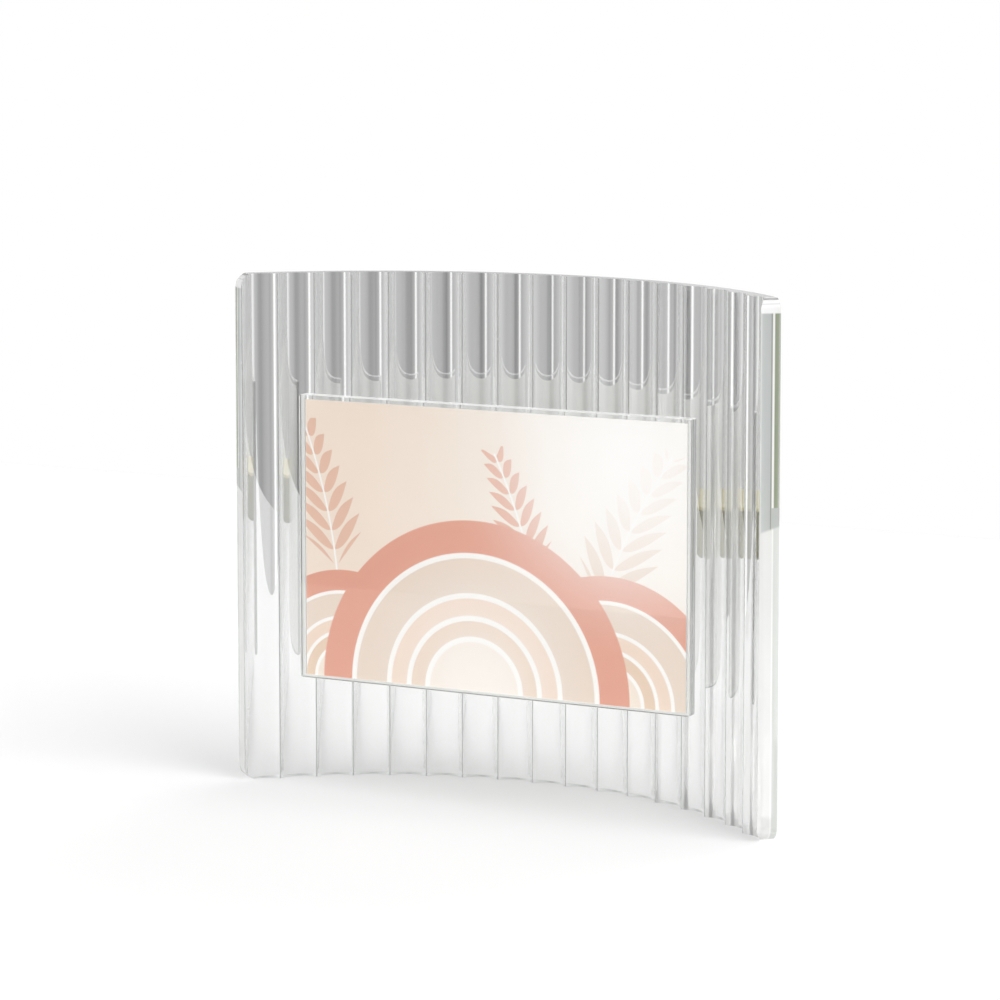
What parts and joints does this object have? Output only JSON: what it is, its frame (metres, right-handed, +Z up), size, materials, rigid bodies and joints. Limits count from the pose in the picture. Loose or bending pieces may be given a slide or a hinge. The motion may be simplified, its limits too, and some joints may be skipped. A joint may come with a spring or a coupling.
{
  "type": "curved fluted glass photo frame",
  "caption": "Curved fluted glass panel standing on its lower edge, with a clear flat photo pocket floating in front of it on a clear block; the print slides out upwards.",
  "frame": {"origin": "on the ground, at the middle of the frame's width and depth", "axes": "+X to the viewer's right, +Y away from the viewer into the frame, +Z up; the print faces -Y"},
  "size_m": [0.214, 0.0542, 0.186],
  "materials": {
    "panel_glass": "polished clear, fluted on the hollow side",
    "sheet_glass": "polished clear",
    "strip_clear": "polished clear",
    "print_paper": null,
    "block_clear": "polished clear with a faint khaki tint",
    "pad_clear": "clear bonding film"
  },
  "bodies": {
    "frame": {"fluted_panel": "panel_glass", "front_sheet": "sheet_glass", "back_sheet": "sheet_glass", "bottom_strip": "strip_clear", "left_strip": "strip_clear", "right_strip": "strip_clear", "support_block": "block_clear", "front_pad": "pad_clear", "rear_pad": "pad_clear"},
    "print": {"photo_print": "print_paper"}
  },
  "joints": [
    {"name": "print_slide", "type": "slide", "parent": "frame", "child": "print", "axis": [0, 0, 1], "range_m": [0, 0.098]}
  ]
}
